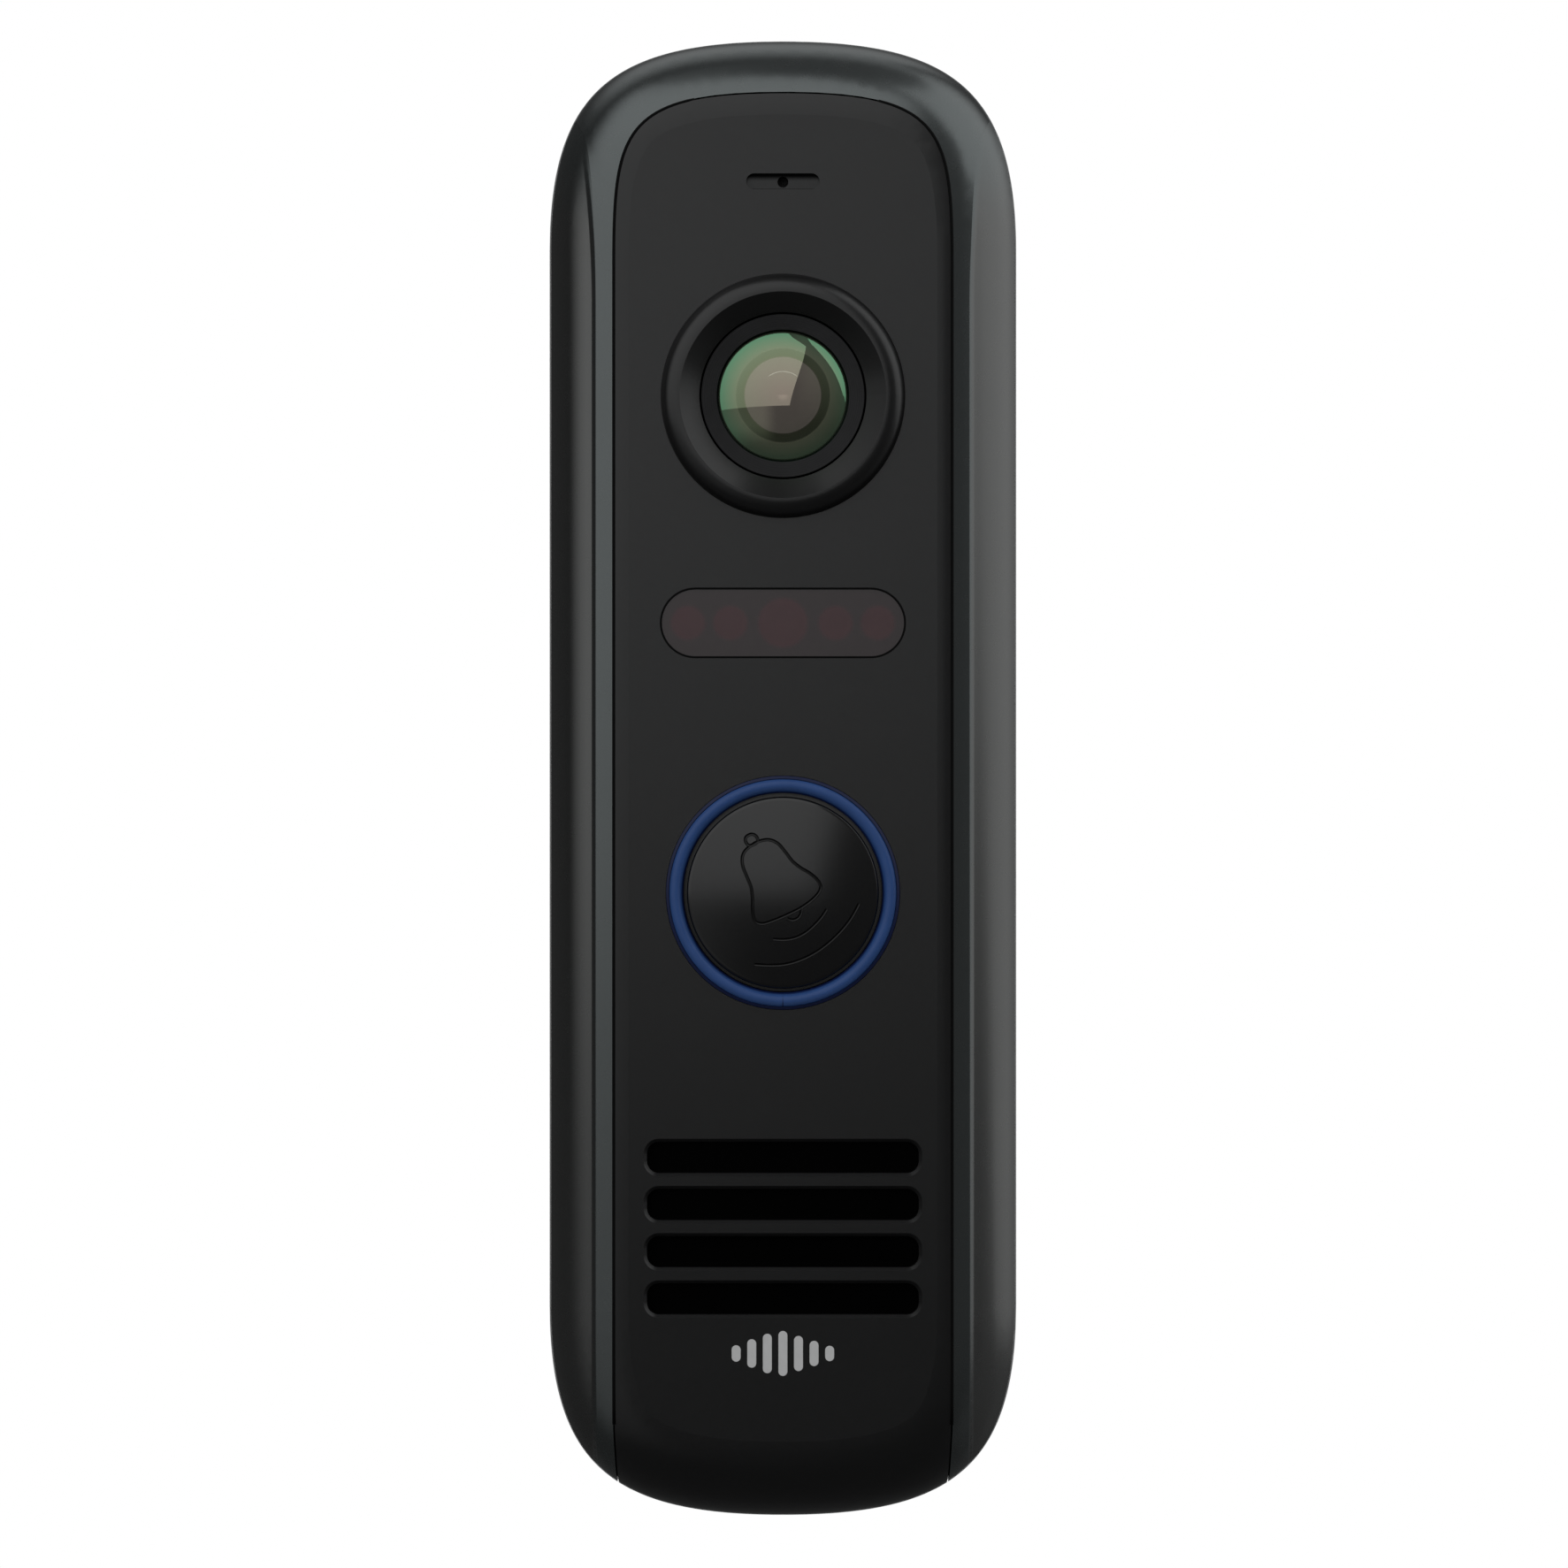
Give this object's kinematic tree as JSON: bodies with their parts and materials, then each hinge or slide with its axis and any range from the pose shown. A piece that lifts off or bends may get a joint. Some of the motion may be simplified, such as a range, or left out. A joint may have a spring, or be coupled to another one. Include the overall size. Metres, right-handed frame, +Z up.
{
  "type": "video doorbell",
  "caption": "Slim wall-mounted video doorbell with a camera, night-light window, lit call button and speaker grille, hung on a steel wall bracket.",
  "frame": {"origin": "centre of the wall bracket's back face, midway between its two wall-screw holes", "axes": "+X right as a visitor sees it, +Y into the wall, so that the front faces -Y, and +Z up"},
  "size_m": [0.043, 0.0256, 0.136],
  "materials": {
    "bracket_steel": "zinc-plated pressed steel",
    "insert_brass": "turned brass",
    "shell_paint": "satin gunmetal paint on die-cast zinc",
    "foam": "closed-cell foam",
    "cover_plastic": "moulded black ABS",
    "silicone": "moulded silicone",
    "screw_steel": "nickel-plated steel",
    "faceplate_plastic": "finely textured black ABS",
    "lens_metal": "black anodised aluminium",
    "coated_glass": "ground glass with a green anti-reflection coating",
    "clear_glass": "ground glass",
    "package_black": "moulded epoxy package",
    "board": "green solder mask on fibreglass",
    "ribbon": "polyimide ribbon",
    "window_plastic": "dark red infrared-pass plastic",
    "led_resin": "moulded epoxy",
    "sensor_resin": "coated ceramic disc",
    "ring_plastic": "translucent blue polycarbonate",
    "led_white": "white LED package",
    "button_plastic": "polished black ABS",
    "tinned": "tinned metal",
    "mesh_cloth": "fine acoustic mesh",
    "magnet_plate": "nickel-plated magnet",
    "paper": "treated paper pulp",
    "lead_pvc": "insulated wire",
    "terminal_plastic": "green polyamide",
    "can_sleeve": "printed sleeve",
    "socket_plastic": "natural polyamide"
  },
  "bodies": {
    "wall_bracket": {"wall_bracket": "bracket_steel", "bracket_nut": "insert_brass"},
    "housing": {"housing_shell": "shell_paint", "wall_seal": "foam", "rear_cover": "cover_plastic", "rear_gasket": "silicone", "rear_cover_screws": "screw_steel", "faceplate": "faceplate_plastic", "faceplate_seal": "foam", "camera_bezel": "faceplate_plastic", "lens_o_ring": "silicone", "lens_barrel": "lens_metal", "lens_front_glass": "coated_glass", "lens_spacer": "lens_metal", "lens_inner_glass": "clear_glass", "lens_rear_glass": "clear_glass", "lens_holder": "cover_plastic", "ir_cut_filter": "clear_glass", "image_sensor": "package_black", "image_processor": "package_black", "camera_board": "board", "camera_board_screws": "screw_steel", "camera_ribbon": "ribbon", "ir_window": "window_plastic", "ir_leds": "led_resin", "led_holder": "cover_plastic", "light_sensor": "sensor_resin", "light_ring": "ring_plastic", "ring_leds": "led_white", "button_seal": "silicone", "switch_body": "package_black", "switch_dome": "tinned", "speaker_mesh": "mesh_cloth", "speaker_gasket": "foam", "speaker_frame": "package_black", "speaker_magnet": "magnet_plate", "speaker_surround": "silicone", "speaker_screws": "screw_steel", "speaker_leads": "lead_pvc", "microphone_capsule": "tinned", "microphone_boot": "silicone", "microphone_leads": "lead_pvc", "main_board": "board", "main_board_screws": "screw_steel", "terminal_block": "terminal_plastic", "terminal_screws": "screw_steel", "capacitors": "can_sleeve", "audio_transformer": "package_black", "chips": "package_black", "small_parts": "package_black", "connectors": "socket_plastic"},
    "call_button": {"call_button": "button_plastic"},
    "switch_plunger": {"switch_plunger": "cover_plastic"},
    "speaker_cone": {"speaker_cone": "paper"},
    "screw_washer": {"security_screw_washer": "silicone"},
    "security_screw": {"security_screw": "screw_steel"}
  },
  "joints": [
    {"name": "unit_lift", "type": "slide", "parent": "wall_bracket", "child": "housing", "axis": [0, 0, 1], "range_m": [0, 0.0032]},
    {"name": "call_button_press", "type": "slide", "parent": "housing", "child": "call_button", "axis": [0, 1, 0], "range_m": [0, 0.0005], "stiffness_N_per_m": 3000, "deforming": ["button_seal"]},
    {"name": "switch_plunger_press", "type": "slide", "parent": "housing", "child": "switch_plunger", "axis": [0, 1, 0], "range_m": [0, 0.0005], "deforming": ["switch_dome"]},
    {"name": "speaker_cone_travel", "type": "slide", "parent": "housing", "child": "speaker_cone", "axis": [0, 1, 0], "range_m": [-0.0003, 0.0003], "stiffness_N_per_m": 2000, "deforming": ["speaker_surround"]},
    {"name": "security_screw_travel", "type": "slide", "parent": "housing", "child": "screw_washer", "axis": [0, 0, -1], "range_m": [0, 0.0035]},
    {"name": "security_screw_turn", "type": "hinge", "parent": "screw_washer", "child": "security_screw", "pos_m": [0, -0.0074, -0.066], "axis": [0, 0, -1], "range_deg": [0, 2520]}
  ],
  "couplings": [
    {"joint": "switch_plunger_press", "follows": "call_button_press", "ratio": 1},
    {"joint": "security_screw_turn", "follows": "security_screw_travel", "rad_per_m": 12566}
  ]
}
